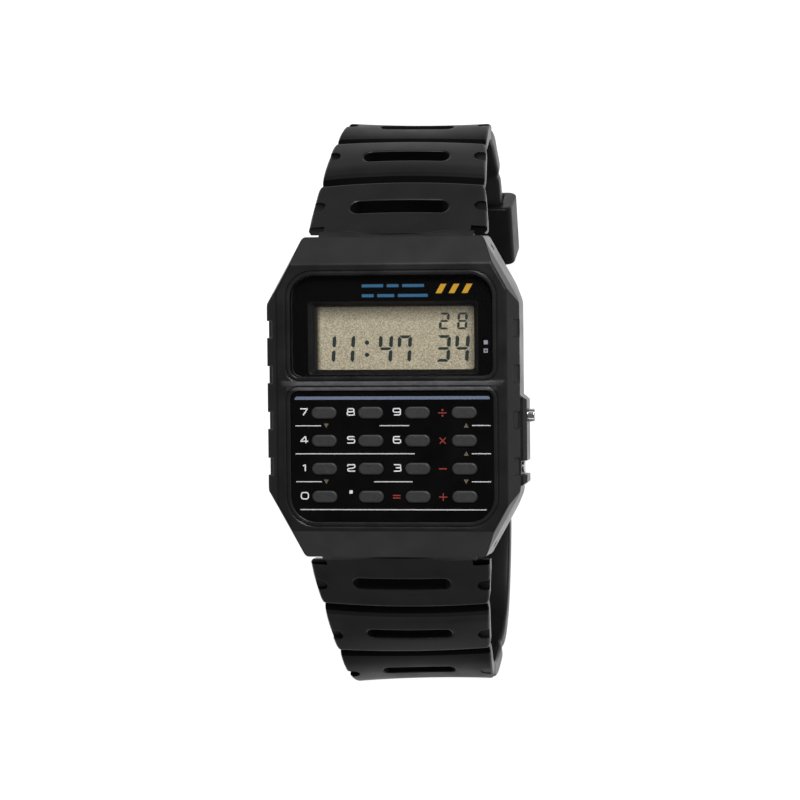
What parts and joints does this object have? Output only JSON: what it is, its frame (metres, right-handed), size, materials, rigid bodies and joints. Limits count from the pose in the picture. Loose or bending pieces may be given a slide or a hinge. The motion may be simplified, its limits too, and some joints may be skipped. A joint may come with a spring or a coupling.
{
  "type": "calculator watch",
  "caption": "Digital wristwatch with a calculator keypad under a rectangular display, black resin case and a buckled resin strap with a loop.",
  "frame": {"origin": "centre of the case back's outer face", "axes": "+Z out through the dial along the face's normal, +Y towards twelve o'clock, +X towards three o'clock, the side with the pushers"},
  "size_m": [0.0362, 0.078, 0.0481],
  "materials": {
    "case_resin": "satin moulded",
    "window_glass": "polished",
    "frame_black": "matt",
    "display_glass": "matt grey display",
    "polariser": "clear film",
    "reflector": "matt",
    "zebra_rubber": "matt",
    "keypad_black": "satin",
    "key_grey": "satin",
    "sheet_rubber": "matt",
    "board_green": "lacquered",
    "carrier": "moulded",
    "chip": "matt",
    "steel": "brushed",
    "bright_steel": "polished",
    "contact_brass": "satin",
    "strap_resin": "satin moulded resin",
    "seal": "matt"
  },
  "bodies": {
    "watch": {"case_bezel": "case_resin", "display_window": "window_glass", "lcd_frame": "frame_black", "front_polariser": "polariser", "lcd_panel": "display_glass", "rear_reflector": "reflector", "zebra_strips": "zebra_rubber", "keypad_panel": "keypad_black", "key_sheet": "sheet_rubber", "key_contact_board": "board_green", "module_frame": "carrier", "circuit_board": "board_green", "processor_chip": "chip", "quartz_crystal": "bright_steel", "battery": "bright_steel", "battery_contact": "contact_brass", "battery_clip": "steel", "side_contacts": "contact_brass", "piezo_disc": "contact_brass", "piezo_spring": "steel", "back_gasket": "seal", "case_back": "steel", "case_back_screws": "bright_steel", "pusher_seals": "seal", "mode_pusher_spring": "steel", "adjust_pusher_spring": "steel", "strap_12": "strap_resin", "strap_6": "strap_resin", "spring_bar_12": "steel", "spring_bar_6": "steel", "buckle_bar": "steel"},
    "key_7": {"key_7": "key_grey"},
    "key_8": {"key_8": "key_grey"},
    "key_9": {"key_9": "key_grey"},
    "key_divide": {"key_divide": "key_grey"},
    "key_4": {"key_4": "key_grey"},
    "key_5": {"key_5": "key_grey"},
    "key_6": {"key_6": "key_grey"},
    "key_multiply": {"key_multiply": "key_grey"},
    "key_1": {"key_1": "key_grey"},
    "key_2": {"key_2": "key_grey"},
    "key_3": {"key_3": "key_grey"},
    "key_minus": {"key_minus": "key_grey"},
    "key_0": {"key_0": "key_grey"},
    "key_point": {"key_point": "key_grey"},
    "key_equals": {"key_equals": "key_grey"},
    "key_plus": {"key_plus": "key_grey"},
    "mode_pusher": {"mode_pusher": "bright_steel", "mode_pusher_clip": "steel"},
    "adjust_pusher": {"adjust_pusher": "steel", "adjust_pusher_clip": "steel"},
    "spring_bar_12_tip_left": {"spring_bar_12_tip_left": "steel"},
    "spring_bar_12_tip_right": {"spring_bar_12_tip_right": "steel"},
    "spring_bar_6_tip_left": {"spring_bar_6_tip_left": "steel"},
    "spring_bar_6_tip_right": {"spring_bar_6_tip_right": "steel"},
    "buckle_bar_tip_left": {"buckle_bar_tip_left": "steel"},
    "buckle_bar_tip_right": {"buckle_bar_tip_right": "steel"},
    "buckle_frame": {"buckle_frame": "steel"},
    "buckle_tongue": {"buckle_tongue": "steel"},
    "keeper": {"keeper": "strap_resin"}
  },
  "joints": [
    {"name": "key_7_press", "type": "slide", "parent": "watch", "child": "key_7", "axis": [0, 0, -1], "range_m": [0, 0.00035], "stiffness_N_per_m": 1200, "springref_m": -0.0001},
    {"name": "key_8_press", "type": "slide", "parent": "watch", "child": "key_8", "axis": [0, 0, -1], "range_m": [0, 0.00035], "stiffness_N_per_m": 1200, "springref_m": -0.0001},
    {"name": "key_9_press", "type": "slide", "parent": "watch", "child": "key_9", "axis": [0, 0, -1], "range_m": [0, 0.00035], "stiffness_N_per_m": 1200, "springref_m": -0.0001},
    {"name": "key_divide_press", "type": "slide", "parent": "watch", "child": "key_divide", "axis": [0, 0, -1], "range_m": [0, 0.00035], "stiffness_N_per_m": 1200, "springref_m": -0.0001},
    {"name": "key_4_press", "type": "slide", "parent": "watch", "child": "key_4", "axis": [0, 0, -1], "range_m": [0, 0.00035], "stiffness_N_per_m": 1200, "springref_m": -0.0001},
    {"name": "key_5_press", "type": "slide", "parent": "watch", "child": "key_5", "axis": [0, 0, -1], "range_m": [0, 0.00035], "stiffness_N_per_m": 1200, "springref_m": -0.0001},
    {"name": "key_6_press", "type": "slide", "parent": "watch", "child": "key_6", "axis": [0, 0, -1], "range_m": [0, 0.00035], "stiffness_N_per_m": 1200, "springref_m": -0.0001},
    {"name": "key_multiply_press", "type": "slide", "parent": "watch", "child": "key_multiply", "axis": [0, 0, -1], "range_m": [0, 0.00035], "stiffness_N_per_m": 1200, "springref_m": -0.0001},
    {"name": "key_1_press", "type": "slide", "parent": "watch", "child": "key_1", "axis": [0, 0, -1], "range_m": [0, 0.00035], "stiffness_N_per_m": 1200, "springref_m": -0.0001},
    {"name": "key_2_press", "type": "slide", "parent": "watch", "child": "key_2", "axis": [0, 0, -1], "range_m": [0, 0.00035], "stiffness_N_per_m": 1200, "springref_m": -0.0001},
    {"name": "key_3_press", "type": "slide", "parent": "watch", "child": "key_3", "axis": [0, 0, -1], "range_m": [0, 0.00035], "stiffness_N_per_m": 1200, "springref_m": -0.0001},
    {"name": "key_minus_press", "type": "slide", "parent": "watch", "child": "key_minus", "axis": [0, 0, -1], "range_m": [0, 0.00035], "stiffness_N_per_m": 1200, "springref_m": -0.0001},
    {"name": "key_0_press", "type": "slide", "parent": "watch", "child": "key_0", "axis": [0, 0, -1], "range_m": [0, 0.00035], "stiffness_N_per_m": 1200, "springref_m": -0.0001},
    {"name": "key_point_press", "type": "slide", "parent": "watch", "child": "key_point", "axis": [0, 0, -1], "range_m": [0, 0.00035], "stiffness_N_per_m": 1200, "springref_m": -0.0001},
    {"name": "key_equals_press", "type": "slide", "parent": "watch", "child": "key_equals", "axis": [0, 0, -1], "range_m": [0, 0.00035], "stiffness_N_per_m": 1200, "springref_m": -0.0001},
    {"name": "key_plus_press", "type": "slide", "parent": "watch", "child": "key_plus", "axis": [0, 0, -1], "range_m": [0, 0.00035], "stiffness_N_per_m": 1200, "springref_m": -0.0001},
    {"name": "mode_pusher_press", "type": "slide", "parent": "watch", "child": "mode_pusher", "axis": [-1, 0, 0], "range_m": [0, 0.0006], "stiffness_N_per_m": 1200, "springref_m": -0.0003, "deforming": ["mode_pusher_spring"]},
    {"name": "adjust_pusher_press", "type": "slide", "parent": "watch", "child": "adjust_pusher", "axis": [-1, 0, 0], "range_m": [0, 0.0004], "stiffness_N_per_m": 1200, "springref_m": -0.0003, "deforming": ["adjust_pusher_spring"]},
    {"name": "spring_bar_12_tip_left_retract", "type": "slide", "parent": "watch", "child": "spring_bar_12_tip_left", "axis": [1, 0, 0], "range_m": [0, 0.00125], "stiffness_N_per_m": 600, "springref_m": -0.001},
    {"name": "spring_bar_12_tip_right_retract", "type": "slide", "parent": "watch", "child": "spring_bar_12_tip_right", "axis": [-1, 0, 0], "range_m": [0, 0.00125], "stiffness_N_per_m": 600, "springref_m": -0.001},
    {"name": "spring_bar_6_tip_left_retract", "type": "slide", "parent": "watch", "child": "spring_bar_6_tip_left", "axis": [1, 0, 0], "range_m": [0, 0.00125], "stiffness_N_per_m": 600, "springref_m": -0.001},
    {"name": "spring_bar_6_tip_right_retract", "type": "slide", "parent": "watch", "child": "spring_bar_6_tip_right", "axis": [-1, 0, 0], "range_m": [0, 0.00125], "stiffness_N_per_m": 600, "springref_m": -0.001},
    {"name": "buckle_bar_tip_left_retract", "type": "slide", "parent": "watch", "child": "buckle_bar_tip_left", "axis": [1, 0, 0], "range_m": [0, 0.0012], "stiffness_N_per_m": 600, "springref_m": -0.001},
    {"name": "buckle_bar_tip_right_retract", "type": "slide", "parent": "watch", "child": "buckle_bar_tip_right", "axis": [-1, 0, 0], "range_m": [0, 0.0012], "stiffness_N_per_m": 600, "springref_m": -0.001},
    {"name": "buckle_frame_hinge", "type": "hinge", "parent": "watch", "child": "buckle_frame", "pos_m": [0, 0.003, -0.036], "axis": [1, 0, 0], "range_deg": [0, 3]},
    {"name": "buckle_tongue_hinge", "type": "hinge", "parent": "buckle_frame", "child": "buckle_tongue", "pos_m": [0, 0.003, -0.036], "axis": [1, 0, 0], "range_deg": [0, 2]},
    {"name": "keeper_slide", "type": "slide", "parent": "watch", "child": "keeper", "axis": [0, 0.9356, 0.353], "range_m": [-0.0018, 0.004]}
  ]
}
